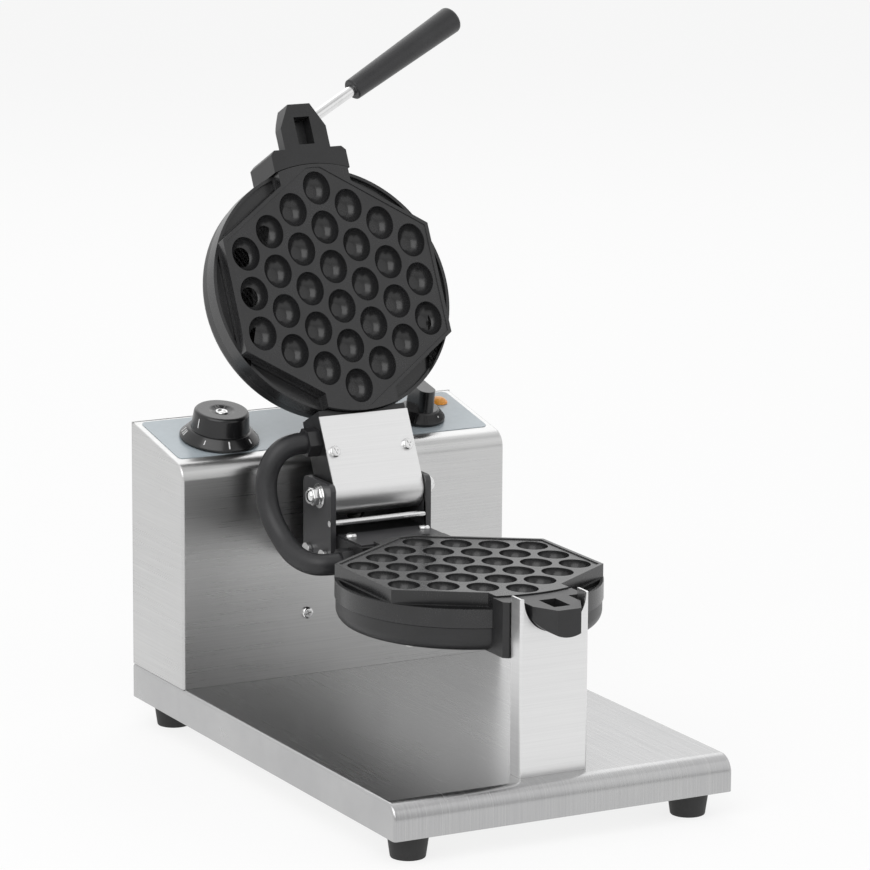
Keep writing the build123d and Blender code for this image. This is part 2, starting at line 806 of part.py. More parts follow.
grip_profile = Plane(
    origin=handle_plane.origin, x_dir=handle_plane.x_dir, z_dir=-handle_plane.y_dir
)
grip_end = grip_start + grip_length
with BuildPart() as handle_grip:
    with BuildSketch(grip_profile):
        with BuildLine():
            Polyline(
                (handle_rod_r, grip_start),
                (grip_small_r - grip_edge_r, grip_start),
                (grip_small_r, grip_start + grip_edge_r),
                (grip_large_r, grip_end - grip_end_r),
            )
            RadiusArc(
                (grip_large_r, grip_end - grip_end_r), (grip_large_r - grip_end_r, grip_end), -grip_end_r
            )
            Polyline(
                (grip_large_r - grip_end_r, grip_end),
                (0, grip_end),
                (0, handle_rod_length),
                (handle_rod_r, handle_rod_length),
                (handle_rod_r, grip_start),
            )
        make_face()
    revolve(axis=Axis(handle_plane.origin, handle_plane.z_dir), revolution_arc=360)
save(handle_grip, "handle_grip")

# Tray: one folded sheet, open below
with BuildPart() as base_tray:
    with BuildSketch(Plane.XY.offset(tray_z)):
        Rectangle(base_width, base_depth)
    extrude(amount=tray_height)
    fillet(base_tray.edges().filter_by(Axis.X).group_by(Axis.Z)[-1].sort_by(Axis.Y)[0], tray_front_r)
    fillet(base_tray.edges().filter_by(Axis.Y).group_by(Axis.Z)[-1], tray_edge_r)
    offset(amount=-sheet, openings=base_tray.faces().sort_by(Axis.Z)[0])
    with BuildSketch(Plane.XY.offset(tray_top)):
        with Locations(*[(side * post_screw_x, post_screw_y) for side in (-1, 1)]):
            Circle(small_screw_r)
        with Locations((0, (box_front_y + box_rear_y) / 2)):
            Rectangle(base_width - 4 * rear_flange, box_depth - 4 * rear_flange)
    extrude(amount=-sheet, mode=Mode.SUBTRACT)
save(base_tray, "base_tray")

with BuildPart() as base_cover:
    with BuildSketch(Plane.XY.offset(tray_z)):
        Rectangle(base_width - 2 * (sheet + sheet_gap), base_depth - 2 * (sheet + sheet_gap))
        with GridLocations(2 * foot_x, 2 * foot_y, 2, 2):
            Circle(foot_screw_r, mode=Mode.SUBTRACT)
    extrude(amount=sheet)
save(base_cover, "base_cover")

# Rubber feet, each a tapered plug with a recess for its screw
with BuildPart() as rubber_feet:
    for x, y in foot_places:
        foot_side = Plane(origin=(x, y, 0), x_dir=(1, 0, 0), z_dir=(0, -1, 0))
        with BuildSketch(foot_side):
            with BuildLine():
                Polyline(
                    (foot_recess_r, 0),
                    (foot_bottom_r, 0),
                    (foot_top_r, foot_height),
                    (foot_screw_r, foot_height),
                    (foot_screw_r, foot_recess_depth),
                    (foot_recess_r, foot_recess_depth),
                    close=True,
                )
            make_face()
        revolve(axis=Axis((x, y, 0), (0, 0, 1)), revolution_arc=360)
save(rubber_feet, "rubber_feet")

with BuildPart() as foot_screws:
    with BuildSketch(Plane.XY.offset(foot_recess_depth)):
        with GridLocations(2 * foot_x, 2 * foot_y, 2, 2):
            Circle(foot_screw_head_r)
    extrude(amount=-foot_screw_head_height)
    with BuildSketch(Plane.XY.offset(foot_recess_depth)):
        with GridLocations(2 * foot_x, 2 * foot_y, 2, 2):
            Circle(foot_screw_r)
    extrude(amount=foot_height - foot_recess_depth + foot_screw_grip)
save(foot_screws, "foot_screws")

# Control box: a folded sheet, open below and behind, with a sloping panel
with BuildPart() as control_box:
    with BuildSketch(Plane.YZ.offset(-base_width / 2)):
        with BuildLine():
            Polyline(
                (box_front_y, tray_top),
                (box_cover_y, tray_top),
                (box_cover_y, panel_z(box_cover_y)),
                (box_front_y, panel_z(box_front_y)),
                close=True,
            )
        make_face()
    extrude(amount=base_width)
    top_edges = control_box.faces().sort_by(Axis.Z)[-1].edges()
    fillet(top_edges.sort_by(Axis.Y)[0], box_front_r)
    fillet(control_box.faces().filter_by(Axis.X).edges().group_by(Axis.Z)[-1], box_edge_r)
    box_openings = [control_box.faces().sort_by(Axis.Z)[0], control_box.faces().sort_by(Axis.Y)[-1]]
    offset(amount=-sheet, openings=box_openings)
    with BuildSketch(flange_front):
        Circle(spindle_r + spindle_gap)
        with GridLocations(2 * flange_bolt, 2 * flange_bolt, 2, 2):
            Circle(small_screw_r)
        with Locations((-box_screw_x, box_screw_z - parting_z), (box_screw_x, box_screw_z - parting_z)):
            Circle(small_screw_r)
    extrude(amount=-sheet, mode=Mode.SUBTRACT)
    for x in (-knob_x, knob_x):
        with BuildSketch(panel_plane(x, knob_y, 0)):
            Circle(bushing_r)
        extrude(amount=-sheet, mode=Mode.SUBTRACT)
    with BuildSketch(panel_plane(lamp_x, lamp_y, 0)):
        Circle(lamp_body_r)
    extrude(amount=-sheet, mode=Mode.SUBTRACT)
save(control_box, "control_box")

with BuildPart() as rear_cover:
    with BuildSketch(rear_plane):
        Rectangle(base_width, box_rear_height)
    extrude(amount=sheet)
    with BuildSketch(rear_plane):
        with GridLocations(2 * rear_screw_x, 2 * rear_screw_z, 2, 2):
            Circle(small_screw_r)
        with Locations((-gland_x, gland_z - rear_mid_z)):
            Circle(gland_r)
        with Locations((0, rear_vent_z - rear_mid_z)):
            with GridLocations(vent_pitch, vent_length, vent_count, 1):
                SlotOverall(vent_length, vent_width, rotation=90)
    extrude(amount=sheet, mode=Mode.SUBTRACT)
save(rear_cover, "rear_cover")

with BuildPart() as rear_cover_screws:
    with BuildSketch(rear_plane.offset(sheet)):
        with GridLocations(2 * rear_screw_x, 2 * rear_screw_z, 2, 2):
            Circle(small_screw_r)
    extrude(amount=-sheet - small_screw_grip)
    with BuildSketch(rear_plane.offset(sheet)):
        with GridLocations(2 * rear_screw_x, 2 * rear_screw_z, 2, 2):
            Circle(pan_head_r)
    extrude(amount=pan_head_height, taper=pan_taper)
save(rear_cover_screws, "rear_cover_screws")

with BuildPart() as box_front_screws:
    with BuildSketch(flange_front):
        with Locations((-box_screw_x, box_screw_z - parting_z), (box_screw_x, box_screw_z - parting_z)):
            Circle(pan_head_r)
    extrude(amount=pan_head_height, taper=pan_taper)
    with BuildSketch(flange_front):
        with Locations((-box_screw_x, box_screw_z - parting_z), (box_screw_x, box_screw_z - parting_z)):
            Circle(small_screw_r)
    extrude(amount=-small_screw_grip)
save(box_front_screws, "box_front_screws")

# Printed film stuck on the panel
film_mid_y = (box_front_y + box_front_r + box_cover_y) / 2
film_length = (box_cover_y - box_front_y - box_front_r) / cos(radians(panel_slope)) - film_margin
film_plane = panel_plane(0, film_mid_y, 0)
with BuildPart() as panel_film:
    with BuildSketch(film_plane):
        RectangleRounded(base_width - 2 * film_margin, film_length, film_corner_r)
    extrude(amount=film_thickness)
    for x in (-knob_x, knob_x):
        with BuildSketch(panel_plane(x, knob_y, 0)):
            Circle(bushing_r)
        extrude(amount=film_thickness, mode=Mode.SUBTRACT)
    with BuildSketch(panel_plane(lamp_x, lamp_y, 0)):
        Circle(lamp_body_r)
    extrude(amount=film_thickness, mode=Mode.SUBTRACT)
save(panel_film, "panel_film")

# Front post: folded channel, open behind, with a cradle cut in its face
with BuildPart() as front_post:
    with BuildSketch(Plane.XY.offset(tray_top)):
        with Locations((0, post_front_y + post_depth / 2)):
            Rectangle(post_width, post_depth)
    extrude(amount=post_top_z - tray_top)
    fillet(front_post.edges().filter_by(Axis.Z).group_by(Axis.Y)[0], post_fold_r)
    with BuildSketch(Plane.XY.offset(tray_top + post_sheet)):
        with Locations((0, post_front_y + post_sheet + post_depth / 2)):
            Rectangle(post_width - 2 * post_sheet, post_depth)
    extrude(amount=post_top_z - tray_top, mode=Mode.SUBTRACT)
    with BuildSketch(Plane.XZ.offset(-post_front_y)):
        with Locations((0, cradle_z)):
            Circle(cradle_r)
    extrude(amount=-post_sheet, mode=Mode.SUBTRACT)
    with BuildSketch(Plane.XY.offset(tray_top)):
        with Locations(*[(side * post_screw_x, post_screw_y) for side in (-1, 1)]):
            Circle(small_screw_r)
    extrude(amount=post_sheet, mode=Mode.SUBTRACT)
save(front_post, "front_post")

with BuildPart() as post_screws:
    with BuildSketch(Plane.XY.offset(tray_top + post_sheet)):
        with Locations(*[(side * post_screw_x, post_screw_y) for side in (-1, 1)]):
            Circle(pan_head_r)
    extrude(amount=pan_head_height, taper=pan_taper)
    with BuildSketch(Plane.XY.offset(tray_top + post_sheet)):
        with Locations(*[(side * post_screw_x, post_screw_y) for side in (-1, 1)]):
            Circle(small_screw_r)
    extrude(amount=-post_sheet - sheet - small_screw_grip / 2)
save(post_screws, "post_screws")

# Thermostat knob: a skirt with a round grip and a dished top
thermostat_axis = panel_plane(-knob_x, knob_y, film_thickness + knob_gap)
timer_axis = panel_plane(knob_x, knob_y, film_thickness + knob_gap)


def profile_plane(axis_plane):
    return Plane(origin=axis_plane.origin, x_dir=axis_plane.x_dir, z_dir=-axis_plane.y_dir)


with BuildPart() as thermostat_knob:
    with BuildSketch(profile_plane(thermostat_axis)):
        with BuildLine():
            Polyline(
                (0, 0),
                (skirt_r, 0),
                (skirt_r, skirt_rim),
                (skirt_top_r, skirt_height),
                (knob_grip_r, skirt_height),
                (knob_top_r, knob_height - knob_edge_r),
            )
            RadiusArc(
                (knob_top_r, knob_height - knob_edge_r),
                (knob_top_r - knob_edge_r, knob_height),
                -knob_edge_r,
            )
            Polyline(
                (knob_top_r - knob_edge_r, knob_height),
                (knob_dish_r, knob_height),
                (knob_cap_r, knob_height - knob_dish_depth),
                (0, knob_height - knob_dish_depth),
                (0, 0),
            )
        make_face()
    revolve(axis=Axis(thermostat_axis.origin, thermostat_axis.z_dir), revolution_arc=360)
    with BuildSketch(thermostat_axis):
        Circle(shaft_r)
    extrude(amount=shaft_depth_in_knob, mode=Mode.SUBTRACT)
    with BuildSketch(thermostat_axis):
        Circle(bushing_r + knob_gap)
    extrude(amount=bushing_height, mode=Mode.SUBTRACT)
save(thermostat_knob, "thermostat_knob")

with BuildPart() as knob_cap:
    with BuildSketch(thermostat_axis.offset(knob_height - knob_dish_depth)):
        Circle(knob_cap_r)
    extrude(amount=knob_cap_height, taper=pan_taper)
save(knob_cap, "knob_cap")

# Timer knob: a ribbed skirt with a bar grip across it
with BuildPart() as timer_knob:
    with BuildSketch(profile_plane(timer_axis)):
        with BuildLine():
            Polyline(
                (0, 0),
                (timer_skirt_r, 0),
                (timer_skirt_r, skirt_rim),
                (timer_top_r, timer_skirt_height),
                (0, timer_skirt_height),
                close=True,
            )
        make_face()
    revolve(axis=Axis(timer_axis.origin, timer_axis.z_dir), revolution_arc=360)
    with BuildSketch(timer_axis.offset(timer_skirt_height)):
        SlotOverall(timer_bar_length, timer_bar_width, rotation=90)
    extrude(amount=timer_height - timer_skirt_height)
    with BuildSketch(timer_axis):
        Circle(shaft_r)
    extrude(amount=shaft_depth_in_knob, mode=Mode.SUBTRACT)
    with BuildSketch(timer_axis):
        Circle(bushing_r + knob_gap)
    extrude(amount=bushing_height, mode=Mode.SUBTRACT)
save(timer_knob, "timer_knob")

for name, axis_plane in (("thermostat_shaft", thermostat_axis), ("timer_shaft", timer_axis)):
    with BuildPart() as shaft:
        with BuildSketch(axis_plane.offset(shaft_depth_in_knob)):
            Circle(shaft_r)
        extrude(amount=-shaft_depth_in_knob - film_thickness - knob_gap - sheet - shaft_inside)
    save(shaft, name)


# A control hangs under the panel on its threaded bushing
def panel_control(x, depth, outline):
    top = panel_plane(x, knob_y, -sheet)
    with BuildPart() as control:
        with BuildSketch(top):
            add(outline)
        extrude(amount=-depth)
        with BuildSketch(top):
            Circle(bushing_r)
        extrude(amount=sheet + film_thickness + bushing_height - knob_gap)
        with BuildSketch(top.offset(sheet + film_thickness + bushing_height)):
            Circle(shaft_r + shaft_clearance)
        extrude(amount=-sheet - film_thickness - bushing_height - shaft_inside - knob_gap, mode=Mode.SUBTRACT)
    return control


thermostat_body = panel_control(
    -knob_x, thermostat_body_depth, Rectangle(thermostat_body_w, thermostat_body_h, mode=Mode.PRIVATE)
)
save(thermostat_body, "thermostat_body")
timer_body = panel_control(knob_x, timer_body_depth, Circle(timer_body_r, mode=Mode.PRIVATE))
save(timer_body, "timer_body")

# Indicator lamp
lamp_plane = panel_plane(lamp_x, lamp_y, film_thickness)
with BuildPart() as lamp_lens:
    with BuildSketch(lamp_plane):
        Circle(lamp_r)
    extrude(amount=lamp_rim)
    with BuildSketch(lamp_plane.offset(lamp_rim)):
        Circle(lamp_r - lamp_rim / 2)
    extrude(amount=lamp_dome, taper=lamp_taper)
save(lamp_lens, "lamp_lens")

with BuildPart() as lamp_body:
    with BuildSketch(lamp_plane):
        Circle(lamp_body_r)
    extrude(amount=-film_thickness - sheet - lamp_body_depth)
save(lamp_body, "lamp_body")

# Terminal block on the base cover and the cable gland in the rear cover
with BuildPart() as terminal_block:
    with BuildSketch(Plane.XY.offset(tray_z + sheet)):
        with Locations((gland_x - terminal_w / 2, (box_front_y + box_cover_y) / 2)):
            Rectangle(terminal_w, terminal_d)
    extrude(amount=terminal_h)
save(terminal_block, "terminal_block")

gland_plane = Plane(origin=(gland_x, box_rear_y, gland_z), x_dir=(-1, 0, 0), z_dir=(0, 1, 0))
with BuildPart() as cable_gland:
    with BuildSketch(gland_plane):
        RegularPolygon(gland_flange_r, 6)
    extrude(amount=gland_flange)
    with BuildSketch(gland_plane.offset(gland_flange)):
        Circle(gland_r)
    extrude(amount=gland_length - gland_flange, taper=gland_taper)
    with BuildSketch(gland_plane):
        Circle(gland_r)
    extrude(amount=-gland_length)
    with BuildSketch(gland_plane.offset(gland_length)):
        Circle(gland_bore_r)
    extrude(amount=-2 * gland_length, mode=Mode.SUBTRACT)
save(cable_gland, "cable_gland")

with BuildPart() as gland_nut:
    with BuildSketch(gland_plane.offset(-sheet)):
        RegularPolygon(gland_flange_r, 6)
        Circle(gland_r, mode=Mode.SUBTRACT)
    extrude(amount=-gland_flange)
save(gland_nut, "gland_nut")

# Conduit fittings on the left side of both arms
upper_fitting_plane = Plane(
    origin=lid_point(-arm_half_width, fitting_y, hinge_z),
    x_dir=lid_direction(0, 1, 0),
    z_dir=(-1, 0, 0),
)
lower_fitting_plane = Plane(
    origin=(-cheek_inner_x, fitting_y, lower_arm_mid_z), x_dir=(0, 1, 0), z_dir=(-1, 0, 0)
)
for name, place in (
    ("upper_conduit_fitting", upper_fitting_plane),
    ("lower_conduit_fitting", lower_fitting_plane),
):
    with BuildPart() as fitting:
        with BuildSketch(place):
            RegularPolygon(fitting_r, 6, major_radius=False)
            Circle(conduit_bore_r, mode=Mode.SUBTRACT)
        extrude(amount=fitting_length)
    save(fitting, name)

# Flexible conduit: points chosen along its bow, straight runs joined by tangent arcs
conduit_start = upper_fitting_plane.offset(fitting_length).origin
conduit_end = lower_fitting_plane.offset(fitting_length).origin
conduit_route = [
    conduit_start,
    conduit_start - Vector(conduit_upper_run, 0, 0),
    Vector(-65, hinge_y + 18.1, hinge_z + 26),
    Vector(-71, hinge_y + 19.1, hinge_z + 10),
    Vector(-71, hinge_y + 13.1, hinge_z - 12),
    Vector(-67, hinge_y - 1.9, hinge_z - 29),
    Vector(-66, hinge_y - 17.9, hinge_z - 36),
    Vector(-61, hinge_y - 30.9, lower_arm_mid_z),
    conduit_end - Vector(conduit_lower_run, 0, 0),
    conduit_end,
]


def bend_radii(route):
    radii = []
    for before, corner, after in zip(route, route[1:], route[2:]):
        run_in = corner - before
        run_out = after - corner
        half_turn = radians(run_in.get_angle(run_out)) / 2
        radii.append(bend_share * min(run_in.length, run_out.length) / tan(half_turn))
    return radii


conduit_radii = bend_radii(conduit_route)
print("conduit bend radii", [round(radius, 1) for radius in conduit_radii])
with BuildPart() as conduit:
    with BuildLine() as conduit_line:
        FilletPolyline(*conduit_route, radius=conduit_radii)
    with BuildSketch(Plane(origin=conduit_start, z_dir=(-1, 0, 0))):
        Circle(conduit_r)
    sweep(path=conduit_line.wires()[0])
print("conduit length", round(conduit_line.wires()[0].length, 1))
print("conduit volume", round(conduit.part.volume, 1))
save(conduit, "conduit")
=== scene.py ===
import json
import math

import bpy
from mathutils import Matrix, Vector

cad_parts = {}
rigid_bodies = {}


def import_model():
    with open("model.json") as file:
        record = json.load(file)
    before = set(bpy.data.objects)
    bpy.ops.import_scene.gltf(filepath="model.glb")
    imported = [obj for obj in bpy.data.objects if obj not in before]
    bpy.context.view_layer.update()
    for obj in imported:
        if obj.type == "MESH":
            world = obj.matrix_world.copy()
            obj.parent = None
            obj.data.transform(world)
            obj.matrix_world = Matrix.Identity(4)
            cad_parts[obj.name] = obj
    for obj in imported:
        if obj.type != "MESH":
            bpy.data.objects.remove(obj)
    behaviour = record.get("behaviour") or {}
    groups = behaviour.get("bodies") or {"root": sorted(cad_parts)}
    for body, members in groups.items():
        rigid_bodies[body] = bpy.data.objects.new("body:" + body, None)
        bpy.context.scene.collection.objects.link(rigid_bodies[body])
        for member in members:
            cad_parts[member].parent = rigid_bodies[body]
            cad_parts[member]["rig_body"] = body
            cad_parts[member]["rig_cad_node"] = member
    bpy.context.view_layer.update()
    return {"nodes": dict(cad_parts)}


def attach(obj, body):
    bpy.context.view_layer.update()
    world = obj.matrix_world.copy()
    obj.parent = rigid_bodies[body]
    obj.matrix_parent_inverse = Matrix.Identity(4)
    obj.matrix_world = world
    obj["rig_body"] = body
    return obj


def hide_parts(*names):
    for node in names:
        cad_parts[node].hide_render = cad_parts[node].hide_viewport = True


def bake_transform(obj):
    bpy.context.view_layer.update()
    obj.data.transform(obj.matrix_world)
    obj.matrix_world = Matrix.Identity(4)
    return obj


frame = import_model()
nodes = frame["nodes"]
print("frame loaded:", len(nodes), "nodes")

# The camera stands where the photograph was taken from
camera = {
    "place": (-1.4314107, -2.6659608, 0.8787931),
    "right": (0.8799, -0.4752, 0.0),
    "up": (0.0995, 0.1843, 0.9778),
    "back": (-0.4646, -0.8604, 0.2095),
    "roll": -0.0063,
    "lens": 191.6,
    "sensor": 36.0,
    "clip": (0.05, 60),
}


def addCamera(settings):
    data = bpy.data.cameras.new("photoCamera")
    data.lens = settings["lens"]
    data.sensor_width = settings["sensor"]
    data.clip_start, data.clip_end = settings["clip"]
    eye = bpy.data.objects.new("photoCamera", data)
    bpy.context.scene.collection.objects.link(eye)
    right = Vector(settings["right"])
    up = Vector(settings["up"])
    back = Vector(settings["back"]).normalized()
    turned = math.cos(settings["roll"]) * right - math.sin(settings["roll"]) * up
    side = (turned - turned.dot(back) * back).normalized()
    top = back.cross(side)
    axes = Matrix((side, top, back)).transposed().to_4x4()
    eye.matrix_world = Matrix.Translation(settings["place"]) @ axes
    bpy.context.scene.camera = eye


addCamera(camera)
bpy.context.scene.view_settings.view_transform = "Standard"


def clearPick():
    if bpy.context.object and bpy.context.object.mode != "OBJECT":
        bpy.ops.object.mode_set(mode="OBJECT")
    bpy.ops.object.select_all(action="DESELECT")


def pickOnly(*pieces):
    clearPick()
    for piece in pieces:
        piece.select_set(True)
    bpy.context.view_layer.objects.active = pieces[0]


def applyPlace(piece):
    pickOnly(piece)
    bpy.ops.object.transform_apply(location=True, rotation=True, scale=True)


def applyModifier(piece, kind, **settings):
    pickOnly(piece)
    modifier = piece.modifiers.new(kind.title(), kind)
    for key, value in settings.items():
        setattr(modifier, key, value)
    bpy.ops.object.modifier_apply(modifier=modifier.name)


# Degrees past which an edge stays sharp
sharp = {"sheet": 32, "small": 40, "tube": 60}


def smooth(piece, angle=sharp["sheet"]):
    pickOnly(piece)
    bpy.ops.object.shade_smooth_by_angle(angle=math.radians(angle))


def primitive(kind, name, **settings):
    clearPick()
    getattr(bpy.ops.mesh, "primitive_" + kind + "_add")(**settings)
    piece = bpy.context.object
    piece.name = name
    applyPlace(piece)
    return piece


def pickEdges(piece, test):
    pickOnly(piece)
    bpy.ops.object.mode_set(mode="EDIT")
    bpy.ops.mesh.select_mode(type="EDGE")
    bpy.ops.mesh.select_all(action="DESELECT")
    bpy.ops.object.mode_set(mode="OBJECT")
    points = piece.data.vertices
    for edge in piece.data.edges:
        edge.select = test(points[edge.vertices[0]].co, points[edge.vertices[1]].co)
    bpy.ops.object.mode_set(mode="EDIT")


def joinPieces(pieces, name):
    pickOnly(*pieces)
    bpy.ops.object.join()
    joined = bpy.context.object
    joined.name = name
    return joined


def copyAt(piece, place):
    twin = piece.copy()
    twin.data = piece.data.copy()
    bpy.context.scene.collection.objects.link(twin)
    twin.matrix_world = place
    applyPlace(twin)
    return twin


def drop(piece):
    mesh = piece.data
    bpy.data.objects.remove(piece)
    bpy.data.meshes.remove(mesh)


# One wrapped socket, so that sums on masks and patterns read as sums
class Wire:
    def __init__(self, tree, socket=None):
        self.tree = tree
        self.socket = socket

    def node(self, kind, settings=(), sockets=(), output=0):
        made = self.tree.nodes.new(kind)
        for key, value in dict(settings).items():
            if key == "stops":
                for element, (at, shade) in zip(made.color_ramp.elements, value):
                    element.position, element.color = at, shade
            else:
                setattr(made, key, value)
        for key, value in dict(sockets).items():
            if isinstance(value, Wire):
                self.tree.links.new(value.socket, made.inputs[key])
            else:
                made.inputs[key].default_value = value
        return Wire(self.tree, made.outputs[output])

    def maths(self, operation, *values):
        return self.node("ShaderNodeMath", {"operation": operation}, enumerate(values))

    def __add__(self, value):
        return self.maths("ADD", self, value)

    def __radd__(self, value):
        return self.maths("ADD", value, self)

    def __sub__(self, value):
        return self.maths("SUBTRACT", self, value)

    def __rsub__(self, value):
        return self.maths("SUBTRACT", value, self)

    def __mul__(self, value):
        return self.maths("MULTIPLY", self, value)

    def __rmul__(self, value):
        return self.maths("MULTIPLY", value, self)

    def feed(self, shader, name):
        self.tree.links.new(self.socket, shader.inputs[name])


pureWhite = (1.0, 1.0, 1.0, 1.0)


def newFinish(name, constants):
    material = bpy.data.materials.new(name)
    material.use_nodes = True
    shader = material.node_tree.nodes["Principled BSDF"]
    for key, value in constants.items():
        shader.inputs[key].default_value = value
    place = Wire(material.node_tree).node("ShaderNodeTexCoord", output="Object")
    return material, shader, place


def pattern(place, scale, detail=2.0, rough=0.5):
    stretched = place.node("ShaderNodeMapping", {}, {"Vector": place, "Scale": scale})
    return place.node(
        "ShaderNodeTexNoise", {},
        {"Vector": stretched, "Scale": 1.0, "Detail": detail, "Roughness": rough},
    )


# Where a pattern turns from a finish's dark shade to its light one
rampSpan = (0.3, 0.7)


def shades(value, dark, light):
    stops = [(at, (*shade, 1)) for at, shade in zip(rampSpan, (dark, light))]
    return value.node("ShaderNodeValToRGB", {"stops": stops}, {"Fac": value})


def feedBump(height, shader, strength, distance):
    bumped = height.node(
        "ShaderNodeBump", {}, {"Height": height, "Strength": strength, "Distance": distance}
    )
    bumped.feed(shader, "Normal")


# Brushed sheet: long fine scratches in one direction over slow cloudy marks
steelLooks = {
    "traySteel": {
        "scratch": (900, 10, 10), "dark": (0.42, 0.42, 0.425), "light": (0.52, 0.52, 0.52),
        "rough": 0.26, "spread": 0.1, "bump": 0.05,
    },
    # The box's stainless is a darker copy of the same brushed sheet: painted shade, for the box front
    # that lies in the shadow of the moulds and tray
    "shadedBoxSteel": {
        "scratch": (9, 9, 900), "dark": (0.52, 0.52, 0.52), "light": (0.64, 0.64, 0.635),
        "rough": 0.27, "spread": 0.14, "bump": 0.08,
    },
    # The post's stainless is a lighter copy of the same brushed sheet: painted light
    "litPostSteel": {
        "scratch": (9, 9, 1000), "dark": (0.72, 0.72, 0.72), "light": (0.8, 0.8, 0.8),
        "rough": 0.3, "spread": 0.12, "bump": 0.05,
    },
    # The arm cover's stainless is a lighter copy of the same brushed sheet: painted light
    "litCoverSteel": {
        "scratch": (9, 1000, 1000), "dark": (0.76, 0.76, 0.76), "light": (0.84, 0.84, 0.84),
        "rough": 0.34, "spread": 0.12, "bump": 0.06,
    },
}
brush = {"clouds": 14, "share": 0.7, "cloudGloss": 0.05, "middle": 0.075, "depth": 0.0002}


def brushedSteel(name, look):
    material, shader, place = newFinish(name, {"Metallic": 1.0})
    scratches = pattern(place, look["scratch"], 4.0, 0.7)
    clouds = pattern(place, (brush["clouds"],) * 3, 3.0)
    marks = scratches * brush["share"] + clouds * (1 - brush["share"])
    shades(marks, look["dark"], look["light"]).feed(shader, "Base Color")
    gloss = scratches * look["spread"] + clouds * brush["cloudGloss"]
    (gloss + (look["rough"] - brush["middle"])).feed(shader, "Roughness")
    feedBump(scratches, shader, look["bump"], brush["depth"])
    return material


# Black coatings, rubber and plastics: a fine grain, faint dust and slow changes in gloss
blackLooks = {
    "coatedCasting": {
        "dark": (0.013, 0.013, 0.0135), "light": (0.023, 0.023, 0.024), "grain": 1500,
        "rough": 0.27, "spread": 0.1, "bump": 0.08, "depth": 0.0002, "coat": 0.0,
    },
    "paintedCasting": {
        "dark": (0.009, 0.009, 0.0095), "light": (0.018, 0.018, 0.019), "grain": 900,
        "rough": 0.4, "spread": 0.14, "bump": 0.2, "depth": 0.0003, "coat": 0.0,
    },
    "bracketPaint": {
        "dark": (0.035, 0.035, 0.037), "light": (0.055, 0.055, 0.058), "grain": 1100,
        "rough": 0.36, "spread": 0.12, "bump": 0.14, "depth": 0.0002, "coat": 0.0,
    },
    "footRubber": {
        "dark": (0.012, 0.012, 0.012), "light": (0.03, 0.03, 0.03), "grain": 1300,
        "rough": 0.6, "spread": 0.2, "bump": 0.25, "depth": 0.0003, "coat": 0.0,
    },
    "conduitRubber": {
        "dark": (0.012, 0.012, 0.013), "light": (0.024, 0.024, 0.026), "grain": 700,
        "rough": 0.42, "spread": 0.14, "bump": 0.12, "depth": 0.0003, "coat": 0.0,
    },
    "knobGloss": {
        "dark": (0.005, 0.005, 0.0055), "light": (0.01, 0.01, 0.011), "grain": 500,
        "rough": 0.26, "spread": 0.1, "bump": 0.03, "depth": 0.0002, "coat": 0.1,
    },
    "gripSatin": {
        "dark": (0.014, 0.014, 0.015), "light": (0.026, 0.026, 0.028), "grain": 1600,
        "rough": 0.38, "spread": 0.12, "bump": 0.12, "depth": 0.0002, "coat": 0.0,
    },
}
blackWear = {"scale": 45, "share": 0.75, "grainGloss": 0.08, "middle": 0.1, "coatRough": 0.12}


def blackFinish(name, look):
    coat = {"Coat Weight": look["coat"], "Coat Roughness": blackWear["coatRough"]}
    material, shader, place = newFinish(name, coat)
    grain = pattern(place, (look["grain"],) * 3, 2.0)
    wear = pattern(place, (blackWear["scale"],) * 3, 4.0, 0.6)
    marks = wear * blackWear["share"] + grain * (1 - blackWear["share"])
    shades(marks, look["dark"], look["light"]).feed(shader, "Base Color")
    gloss = wear * look["spread"] + grain * blackWear["grainGloss"]
    (gloss + (look["rough"] - blackWear["middle"])).feed(shader, "Roughness")
    feedBump(grain, shader, look["bump"], look["depth"])
    return material


# Plain metals and small plastic parts: dark and light shade, metallic, roughness, grain
smallLooks = {
    "brightSteel": ((0.66, 0.66, 0.66), (0.8, 0.8, 0.8), 1.0, 0.16, 700),
    "zincSteel": ((0.46, 0.46, 0.45), (0.6, 0.6, 0.58), 1.0, 0.34, 500),
    "heaterTube": ((0.2, 0.18, 0.16), (0.38, 0.35, 0.32), 1.0, 0.42, 300),
    "bronzeBush": ((0.6, 0.45, 0.2), (0.74, 0.57, 0.28), 1.0, 0.3, 400),
    "panelFilm": ((0.385, 0.44, 0.475), (0.43, 0.485, 0.52), 0.0, 0.24, 260),
    "lampAmber": ((0.82, 0.27, 0.02), (0.95, 0.42, 0.05), 0.0, 0.14, 300),
    "whitePlastic": ((0.68, 0.67, 0.63), (0.78, 0.77, 0.74), 0.0, 0.4, 600),
    "markPaint": ((0.7, 0.7, 0.7), (0.86, 0.86, 0.86), 0.0, 0.45, 900),
}
smallWear = {
    "slow": 60, "share": 0.6, "grainGloss": 0.1, "slowGloss": 0.08, "middle": 0.09,
    "bump": 0.04, "depth": 0.0002,
}


def smallFinish(name, look):
    dark, light, metallic, rough, scale = look
    material, shader, place = newFinish(name, {"Metallic": metallic})
    grain = pattern(place, (scale,) * 3, 3.0)
    slow = pattern(place, (smallWear["slow"],) * 3, 2.0)
    marks = slow * smallWear["share"] + grain * (1 - smallWear["share"])
    shades(marks, dark, light).feed(shader, "Base Color")
    gloss = grain * smallWear["grainGloss"] + slow * smallWear["slowGloss"]
    (gloss + (rough - smallWear["middle"])).feed(shader, "Roughness")
    feedBump(grain, shader, smallWear["bump"], smallWear["depth"])
    return material


finishes = {name: brushedSteel(name, look) for name, look in steelLooks.items()}
finishes.update({name: blackFinish(name, look) for name, look in blackLooks.items()})
finishes.update({name: smallFinish(name, look) for name, look in smallLooks.items()})
print("finishes made:", len(finishes))


def dress(piece, finish):
    piece.data.materials.clear()
    piece.data.materials.append(finishes[finish])


